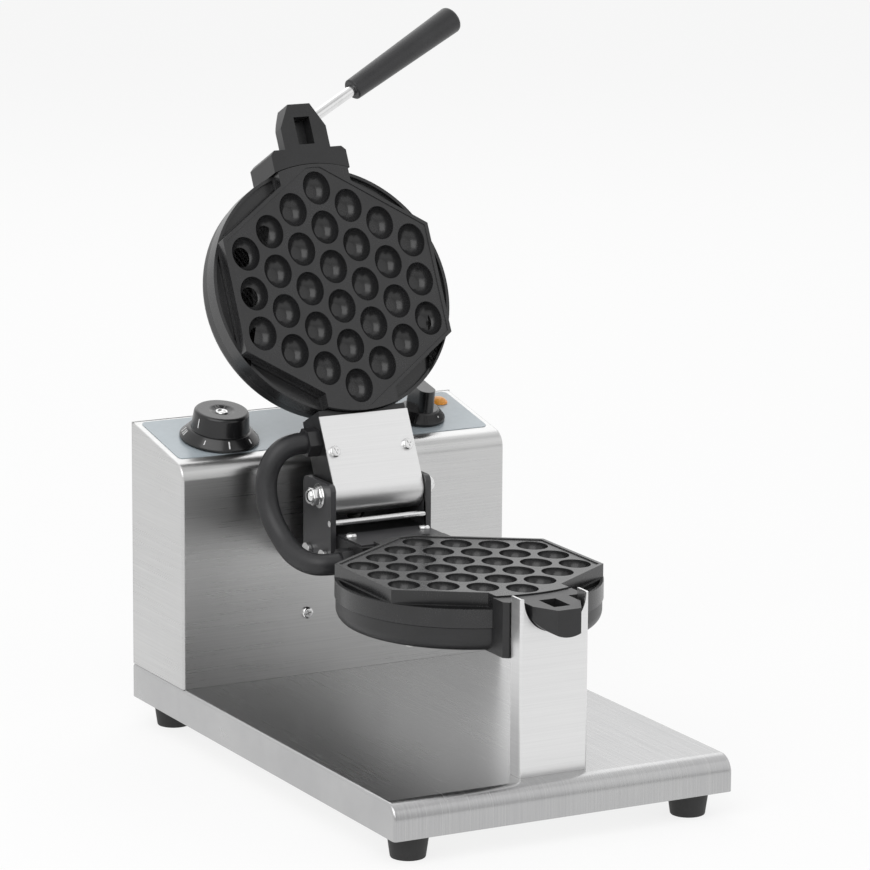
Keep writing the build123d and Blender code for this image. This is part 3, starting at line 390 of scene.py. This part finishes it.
# Where the sloping panel and the open lid are: lengths in millimetres, the hinge in metres
mm = 0.001
places = {
    "hinge": (0.0779, 0.177),
    "openTurn": 117.0,
    "panelRise": (172.8 - 155.8) / 81.6,   # rear height less front height, over the depth
    "panelRear": (196.0, 214.4),
    "knobX": 78.0,
    "knobY": 154.0,
    "lamp": (105.8, 176.0),
    "film": 0.4,
    "knobGap": 0.6,
}


def shifted(x, y, z, turn=Matrix.Identity(4)):
    return Matrix.Translation((x * mm, y * mm, z * mm)) @ turn


def panelFrame(x, y, height):
    rearY, rearZ = places["panelRear"]
    level = rearZ - (rearY - y) * places["panelRise"]
    tilt = Matrix.Rotation(math.atan(places["panelRise"]), 4, "X")
    return shifted(x, y, level, tilt) @ shifted(0, 0, height)


def lidFrame():
    y, z = places["hinge"]
    turn = Matrix.Rotation(-math.radians(places["openTurn"]), 4, "X")
    return Matrix.Translation((0, y, z)) @ turn @ Matrix.Translation((0, -y, -z))


knobSeat = places["film"] + places["knobGap"]
knobFrame = panelFrame(-places["knobX"], places["knobY"], knobSeat)
timerFrame = panelFrame(places["knobX"], places["knobY"], knobSeat)

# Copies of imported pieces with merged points, eased edges and smooth curves:
# name, finish, body, slot and the width of the eased edge in metres
refined = {
    "base_tray": ("trayShell", "traySteel", "base", "stainless", 0.0003),
    "control_box": ("boxShell", "shadedBoxSteel", "base", "stainless", 0.0003),
    "rear_cover": ("rearPlate", "shadedBoxSteel", "base", "stainless", 0.0002),
    "front_post": ("postShell", "litPostSteel", "base", "stainless", 0.0003),
    "upper_arm_cover": ("armSheet", "litCoverSteel", "lid", "stainless", 0.0002),
    "lower_arm_cover": ("lowerArmSheet", "bracketPaint", "base", "black_paint", 0.0002),
    "lower_mould_plate": ("lowerMould", "coatedCasting", "base", "cast_black", 0.00035),
    "upper_mould_plate": ("upperMould", "coatedCasting", "lid", "cast_black", 0.00035),
    "lower_heater_cover": ("lowerCover", "paintedCasting", "base", "black_paint", 0.0006),
    "upper_heater_cover": ("upperCover", "paintedCasting", "lid", "black_paint", 0.0006),
    "hinge_bracket": ("bracketShell", "bracketPaint", "base", "black_paint", 0.0005),
    "spindle_flange": ("flangePlate", "bracketPaint", "base", "black_paint", 0.0005),
    "rubber_feet": ("feet", "footRubber", "base", "rubber_black", 0.0008),
    "handle_grip": ("handGrip", "gripSatin", "lid", "grip_black", 0.0003),
    "handle_rod": ("gripRod", "brightSteel", "lid", "bright_steel", 0.0002),
    "stop_bar": ("stopRod", "brightSteel", "base", "bright_steel", 0.0003),
    "thermostat_knob": ("heatKnob", "knobGloss", "thermostat_dial", "knob_black", 0.0005),
    "timer_knob": ("timeKnob", "knobGloss", "timer_dial", "knob_black", 0.0007),
    "pivot_washers": ("pivotRings", "brightSteel", "base", "bright_steel", 0.0002),
    "bracket_bolts": ("sideBolts", "brightSteel", "base", "bright_steel", 0.0005),
    "cable_gland": ("glandBody", "gripSatin", "base", "grip_black", 0.0004),
    "upper_conduit_fitting": ("upperCollar", "gripSatin", "lid", "grip_black", 0.0005),
    "lower_conduit_fitting": ("lowerCollar", "gripSatin", "base", "grip_black", 0.0005),
    "upper_cover_screws": ("upperRearScrews", "zincSteel", "lid", "zinc", 0.0004),
    "lower_cover_screws": ("lowerRearScrews", "zincSteel", "base", "zinc", 0.0004),
    "spindle": ("hollowSpindle", "zincSteel", "base", "zinc", 0.0003),
}
easing = {"merge": 0.000002, "flat": 0.2, "corner": 34, "segments": 2, "weight": 100}


def refine(node, name, finish, body, slot, edge):
    piece = nodes[node].copy()
    piece.data = nodes[node].data.copy()
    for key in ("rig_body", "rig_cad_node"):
        del piece[key]
    piece.parent = None
    piece.name = name
    bpy.context.scene.collection.objects.link(piece)
    pickOnly(piece)
    bpy.ops.mesh.customdata_custom_splitnormals_clear()
    bpy.ops.object.mode_set(mode="EDIT")
    bpy.ops.mesh.select_all(action="SELECT")
    bpy.ops.mesh.remove_doubles(threshold=easing["merge"])
    bpy.ops.mesh.dissolve_limited(angle_limit=math.radians(easing["flat"]))
    bpy.ops.object.mode_set(mode="OBJECT")
    applyModifier(
        piece, "BEVEL", width=edge, segments=easing["segments"], limit_method="ANGLE",
        angle_limit=math.radians(easing["corner"]), use_clamp_overlap=True,
    )
    smooth(piece)
    applyModifier(
        piece, "WEIGHTED_NORMAL", mode="FACE_AREA", weight=easing["weight"], keep_sharp=True,
    )
    dress(piece, finish)
    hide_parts(node)
    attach(piece, body)


for node, values in refined.items():
    refine(node, *values)
print("refined pieces:", len(refined))

# The upper lug's slot is dark to the end in the photograph, so it gets a floor behind
lugSlot = {"width": 12.0, "length": 20.0, "y": -177.5, "z": (170.0, 174.0), "bevel": 0.06}


def slotFloor(settings):
    low, high = settings["z"]
    floor = primitive("cube", "slotFloor", size=1)
    pickEdges(floor, lambda a, b: a.z < 0 and b.z < 0)
    bpy.ops.mesh.bevel(offset=settings["bevel"], segments=3)
    bpy.ops.object.mode_set(mode="OBJECT")
    size = Matrix.Diagonal((settings["width"] * mm, settings["length"] * mm, (high - low) * mm, 1))
    floor.matrix_world = lidFrame() @ shifted(0, settings["y"], (low + high) / 2, size)
    applyPlace(floor)
    smooth(floor)
    dress(floor, "paintedCasting")
    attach(floor, "lid")


slotFloor(lugSlot)

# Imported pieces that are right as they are
plainNodes = {
    "base_cover": "zincSteel", "foot_screws": "zincSteel", "lower_heating_element": "heaterTube",
    "upper_heating_element": "heaterTube", "pivot_bolt": "brightSteel", "pivot_bushes": "bronzeBush",
    "thermostat_body": "zincSteel", "timer_body": "zincSteel", "thermostat_shaft": "zincSteel",
    "timer_shaft": "zincSteel", "lamp_body": "whitePlastic", "terminal_block": "whitePlastic",
    "gland_nut": "gripSatin", "panel_film": "panelFilm",
}
for node, finish in plainNodes.items():
    dress(nodes[node], finish)

# Pan head screw with a cross recess, made once and copied to every place
screw = {
    "head": 4.1, "height": 2.4, "shank": 1.7, "length": 6.8,
    "recess": 2.3, "slot": 0.75, "depth": 1.1, "turn": 20,
}


def panScrew(settings, crown):
    head = primitive(
        "cylinder", "screwHead", vertices=32, radius=settings["head"] * mm,
        depth=settings["height"] * mm, location=(0, 0, settings["height"] * mm / 2),
    )
    middle = settings["height"] * mm / 2
    pickEdges(head, lambda a, b: a.z > middle and b.z > middle)
    bpy.ops.mesh.bevel(offset=crown * mm, segments=5, profile=0.5)
    bpy.ops.object.mode_set(mode="OBJECT")
    bars = []
    for turn in (0, 90):
        bar = primitive("cube", "recessBar", size=1)
        bar.scale = (2 * settings["recess"] * mm, settings["slot"] * mm, 2 * settings["depth"] * mm)
        bar.rotation_euler = (0, 0, math.radians(turn + settings["turn"]))
        bar.location = (0, 0, settings["height"] * mm)
        applyPlace(bar)
        bars.append(bar)
    for bar in bars:
        applyModifier(head, "BOOLEAN", operation="DIFFERENCE", solver="EXACT", object=bar)
        drop(bar)
    shank = primitive(
        "cylinder", "screwShank", vertices=16, radius=settings["shank"] * mm,
        depth=settings["length"] * mm, location=(0, 0, -settings["length"] * mm / 2),
    )
    made = joinPieces([head, shank], "screw")
    smooth(made, sharp["small"])
    return made


faceFront = Matrix.Rotation(math.radians(90), 4, "X")
faceRear = Matrix.Rotation(math.radians(-90), 4, "X")
faceDown = Matrix.Rotation(math.radians(180), 4, "X")
faceUp = Matrix.Identity(4)

# Name, body, crown, the way the heads face and where they sit; the lid's are given as it lies shut
screwPlaces = {
    "upper_arm_screws": ("armScrews", "lid", 1.3, faceDown, [(x, 52, 162.6) for x in (-28, 28)]),
    "lower_arm_screws": ("lowerArmScrews", "base", 1.9, faceUp, [(x, 52, 152.5) for x in (-28, 28)]),
    "box_front_screws": ("boxScrews", "base", 1.3, faceFront, [(x, 114.4, 85.6) for x in (-30, 30)]),
    "flange_screws": (
        "flangeScrews", "base", 1.3, faceFront,
        [(x, 108.4, z) for x in (-19, 19) for z in (138.55, 176.55)],
    ),
    "post_screws": ("postScrews", "base", 1.3, faceUp, [(x, -171.15, 43.1) for x in (-15, 15)]),
    "rear_cover_screws": (
        "rearScrews", "base", 1.3, faceRear, [(x, 196, z) for x in (-112, 112) for z in (54, 202)],
    ),
}


def placeScrews():
    for node, (name, body, crown, turn, seats) in screwPlaces.items():
        stand = lidFrame() if body == "lid" else Matrix.Identity(4)
        sample = panScrew(screw, crown)
        copies = [copyAt(sample, stand @ shifted(*seat, turn)) for seat in seats]
        group = joinPieces(copies, name)
        drop(sample)
        dress(group, "brightSteel")
        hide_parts(node)
        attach(group, body)


placeScrews()
print("screws placed")

# Domed cap nuts on both ends of the pivot
capNut = {"flats": 11.4, "height": 6.2, "dome": 5.3, "rise": 3.3, "edge": 0.6, "seat": 39.8}


def capNuts(settings):
    corner = settings["flats"] / math.sqrt(3)
    body = primitive(
        "cylinder", "nutBody", vertices=6, radius=corner * mm, depth=settings["height"] * mm,
        location=(0, 0, settings["height"] * mm / 2),
    )
    pickEdges(body, lambda a, b: True)
    bpy.ops.mesh.bevel(offset=settings["edge"] * mm, segments=3, profile=0.6)
    bpy.ops.object.mode_set(mode="OBJECT")
    dome = primitive("uv_sphere", "nutDome", segments=32, ring_count=16, radius=settings["dome"] * mm)
    dome.scale = (1, 1, settings["rise"] / settings["dome"])
    dome.location = (0, 0, settings["height"] * mm)
    applyPlace(dome)
    nut = joinPieces([body, dome], "nut")
    smooth(nut, sharp["small"])
    y, z = places["hinge"]
    ends = []
    for side in (-1, 1):
        turn = Matrix.Rotation(math.radians(90) * side, 4, "Y")
        ends.append(copyAt(nut, Matrix.Translation((side * settings["seat"] * mm, y, z)) @ turn))
    drop(nut)
    pair = joinPieces(ends, "capNuts")
    dress(pair, "brightSteel")
    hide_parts("pivot_nuts")
    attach(pair, "base")


capNuts(capNut)

# Bright ring let into the dished top of the thermostat knob
knobRing = {
    "seat": 19.0, "r": 3.5, "wall": 0.95, "lift": 0.3,
    "button": 1.9, "flatness": 0.35, "floor": 0.5, "floorLift": 0.1,
}


def dishRing(settings):
    ring = primitive(
        "torus", "dishRing", major_radius=settings["r"] * mm, minor_radius=settings["wall"] * mm,
        major_segments=40, minor_segments=12, location=(0, 0, settings["lift"] * mm),
    )
    button = primitive(
        "uv_sphere", "dishButton", segments=24, ring_count=12, radius=settings["button"] * mm,
    )
    button.scale = (1, 1, settings["flatness"])
    applyPlace(button)
    floor = primitive(
        "cylinder", "dishFloor", vertices=32, radius=settings["r"] * mm,
        depth=settings["floor"] * mm, location=(0, 0, settings["floorLift"] * mm),
    )
    made = joinPieces([ring, button, floor], "dishRing")
    made.matrix_world = knobFrame @ shifted(0, 0, settings["seat"])
    applyPlace(made)
    smooth(made, sharp["small"])
    dress(made, "brightSteel")
    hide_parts("knob_cap")
    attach(made, "thermostat_dial")


dishRing(knobRing)

# White ticks and pointer lines: angle round the knob, radius, height, slope, length, width
heatMarks = [
    (-99.8, 24.9, 4.7, 46, 5.2, 0.9), (158, 24.9, 4.7, 46, 4.4, 0.8), (166, 24.9, 4.7, 46, 4.4, 0.8),
    (172, 24.9, 4.7, 46, 4.4, 0.8), (-140, 24.9, 4.7, 46, 3.4, 0.7), (-58, 24.9, 4.7, 46, 3.4, 0.7),
    (-16, 24.9, 4.7, 46, 3.4, 0.7), (28, 24.9, 4.7, 46, 3.4, 0.7), (194, 19.9, 14.5, 84, 6.5, 0.7),
]
timeMarks = [
    (-18, 15.9, 4.95, 50, 5.0, 0.9), (-62, 15.9, 4.95, 50, 1.2, 1.2), (28, 15.9, 4.95, 50, 3.0, 0.7),
]
markBar = {"thickness": 0.3, "bevel": 0.1}


def dialMarks(name, marks, dial, body):
    bars = []
    for angle, r, height, slope, length, width in marks:
        bar = primitive("cube", "mark", size=1)
        pickEdges(bar, lambda a, b: a.z > 0 and b.z > 0)
        bpy.ops.mesh.bevel(offset=markBar["bevel"], segments=2)
        bpy.ops.object.mode_set(mode="OBJECT")
        turn = Matrix.Rotation(math.radians(angle), 4, "Z")
        lean = Matrix.Rotation(math.radians(slope), 4, "Y")
        size = Matrix.Diagonal((length * mm, width * mm, markBar["thickness"] * mm, 1))
        bar.matrix_world = dial @ turn @ shifted(r, 0, height, lean) @ size
        applyPlace(bar)
        bars.append(bar)
    made = joinPieces(bars, name)
    dress(made, "markPaint")
    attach(made, body)


dialMarks("heatMarks", heatMarks, knobFrame, "thermostat_dial")
dialMarks("timeMarks", timeMarks, timerFrame, "timer_dial")

# Fine ribs round the timer's skirt
ribs = {
    "count": 56, "r": 16.3, "height": 4.4, "lean": 50,
    "length": 6.2, "width": 0.75, "thickness": 0.5, "bevel": 0.25,
}


def skirtRibs(settings):
    bars = []
    seed = primitive("cube", "rib", size=1)
    pickEdges(seed, lambda a, b: a.z > 0 and b.z > 0)
    bpy.ops.mesh.bevel(offset=settings["bevel"], segments=2)
    bpy.ops.object.mode_set(mode="OBJECT")
    lean = Matrix.Rotation(math.radians(settings["lean"]), 4, "Y")
    length, width, thickness = (settings[key] * mm for key in ("length", "width", "thickness"))
    size = Matrix.Diagonal((length, width, thickness, 1))
    rib = shifted(settings["r"], 0, settings["height"], lean) @ size
    for index in range(settings["count"]):
        turn = Matrix.Rotation(2 * math.pi * index / settings["count"], 4, "Z")
        bars.append(copyAt(seed, timerFrame @ turn @ rib))
    drop(seed)
    made = joinPieces(bars, "skirtRibs")
    smooth(made, sharp["small"])
    dress(made, "knobGloss")
    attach(made, "timer_dial")


skirtRibs(ribs)
print("dials dressed")

# Amber lens: a low dome in a thin rim
lens = {"r": 5.7, "rise": 3.2, "lift": 0.7, "rim": 5.9, "rimWall": 0.55}


def lampLens(settings):
    dome = primitive("uv_sphere", "lensDome", segments=40, ring_count=20, radius=settings["r"] * mm)
    pickOnly(dome)
    bpy.ops.object.mode_set(mode="EDIT")
    bpy.ops.mesh.select_all(action="SELECT")
    bpy.ops.mesh.bisect(plane_co=(0, 0, 0), plane_no=(0, 0, 1), clear_inner=True, use_fill=True)
    bpy.ops.object.mode_set(mode="OBJECT")
    dome.scale = (1, 1, settings["rise"] / settings["r"])
    dome.location = (0, 0, settings["lift"] * mm)
    applyPlace(dome)
    rim = primitive(
        "torus", "lensRim", major_radius=settings["rim"] * mm, minor_radius=settings["rimWall"] * mm,
        major_segments=48, minor_segments=12, location=(0, 0, settings["rimWall"] * mm),
    )
    made = joinPieces([dome, rim], "lampLens")
    made.matrix_world = panelFrame(*places["lamp"], places["film"])
    applyPlace(made)
    smooth(made, sharp["small"])
    dress(made, "lampAmber")
    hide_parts("lamp_lens")
    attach(made, "base")


lampLens(lens)

# Flexible conduit: the route's own points are the spline's control points
conduit = {
    "route": [
        (-42, 95.106, 210.769), (-54, 95.106, 210.769), (-65, 96, 203), (-71, 97, 187), (-71, 91, 165),
        (-67, 76, 148), (-66, 60, 141), (-61, 47, 138.1), (-53.6, 40, 138.1), (-43.6, 40, 138.1),
    ],
    "diameter": 15.0,
    "length": 137.9,
    "order": 3,
    "steps": 16,
    "sides": 8,
}


def flexConduit(settings):
    curve = bpy.data.curves.new("flexConduit", "CURVE")
    curve.dimensions = "3D"
    curve.resolution_u = settings["steps"]
    spline = curve.splines.new("NURBS")
    spline.points.add(len(settings["route"]) - 1)
    for point, place in zip(spline.points, settings["route"]):
        point.co = (*[value * mm for value in place], 1)
    spline.order_u = settings["order"]
    spline.use_endpoint_u = True
    guide = bpy.data.objects.new("conduitGuide", curve)
    bpy.context.scene.collection.objects.link(guide)
    bpy.context.view_layer.update()
    line = bpy.data.meshes.new_from_object(guide)
    curve.bevel_depth = settings["diameter"] * mm / 2
    curve.bevel_resolution = settings["sides"]
    curve.use_fill_caps = True
    tube = bpy.data.objects.new("flexConduit", bpy.data.meshes.new_from_object(guide))
    bpy.context.scene.collection.objects.link(tube)
    bpy.data.objects.remove(guide)
    smooth(tube, sharp["tube"])
    dress(tube, "conduitRubber")
    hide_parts("conduit")
    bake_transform(tube)


flexConduit(conduit)
print("conduit laid")

# White sweep, soft lamps and a white surround that metal mirrors
studio = {
    "floor": 30.0, "floorWhite": 0.97, "mottle": 0.004, "floorGlow": 0.8, "skyLight": 0.62,
    "floorFade": {"low": 0.85, "span": (-1.1, -0.35)},
    "skyFade": {"low": 0.66, "span": (-0.6, 0.1)},
    "target": (0, 0, 0.15),
    "key": {"place": (-1.5, -1.3, 2.1), "power": 32.0, "size": 2.4},
    "fill": {"place": (1.9, -1.6, 1.5), "power": 6.0, "size": 2.2},
    "back": {"place": (0.6, 1.8, 2.0), "power": 12.0, "size": 2.4},
}


def addLamp(name, target, place, power, size):
    data = bpy.data.lights.new(name, "AREA")
    data.shape = "SQUARE"
    data.size = size
    data.energy = power
    lamp = bpy.data.objects.new(name, data)
    bpy.context.scene.collection.objects.link(lamp)
    turn = (Vector(target) - Vector(place)).to_track_quat("-Z", "Y").to_matrix().to_4x4()
    lamp.matrix_world = Matrix.Translation(place) @ turn


def rayMask(wire, kind):
    return wire.node("ShaderNodeLightPath", output="Is " + kind + " Ray")


# Darker towards the front, so that metal mirrors a soft change from front to back
def frontFade(place, low, span):
    depth = place.node("ShaderNodeSeparateXYZ", {}, {0: place}, 1)
    return place.node(
        "ShaderNodeMapRange", {"interpolation_type": "SMOOTHSTEP"},
        {"Value": depth, "From Min": span[0], "From Max": span[1], "To Min": low, "To Max": 1.0},
    )


def addStudio(settings):
    floor = primitive("grid", "studioFloor", x_subdivisions=8, y_subdivisions=8, size=settings["floor"])
    material, shader, place = newFinish("floorPaper", {"Roughness": 0.9, "Specular IOR Level": 0.0})
    mottled = pattern(place, (3, 3, 3), 2.0)
    white = settings["floorWhite"]
    dull = white - settings["mottle"]
    shades(mottled, (dull,) * 3, (white,) * 3).feed(shader, "Base Color")
    glow = place.node("ShaderNodeEmission", {}, {"Color": pureWhite, "Strength": 1.0})
    paper = Wire(material.node_tree, shader.outputs[0])
    mirrored = rayMask(place, "Glossy") * frontFade(place, **settings["floorFade"])
    glowing = (rayMask(place, "Camera") + mirrored) * settings["floorGlow"]
    mixed = place.node("ShaderNodeMixShader", {}, {0: glowing, 1: paper, 2: glow})
    mixed.feed(material.node_tree.nodes["Material Output"], "Surface")
    floor.data.materials.append(material)
    world = bpy.data.worlds.new("studioWorld")
    bpy.context.scene.world = world
    world.use_nodes = True
    background = world.node_tree.nodes["Background"]
    background.inputs["Color"].default_value = pureWhite
    sky = Wire(world.node_tree)
    towards = sky.node("ShaderNodeTexCoord", output="Generated")
    glossy = rayMask(sky, "Glossy")
    plain = rayMask(sky, "Camera") + rayMask(sky, "Transmission")
    soft = settings["skyLight"] + plain * (1 - settings["skyLight"])
    bright = glossy * frontFade(towards, **settings["skyFade"]) + (1 - glossy) * soft
    bright.feed(background, "Strength")
    for name in ("key", "fill", "back"):
        addLamp(name + "Lamp", settings["target"], **settings[name])


addStudio(studio)
print("studio lit")

print("pieces finished")
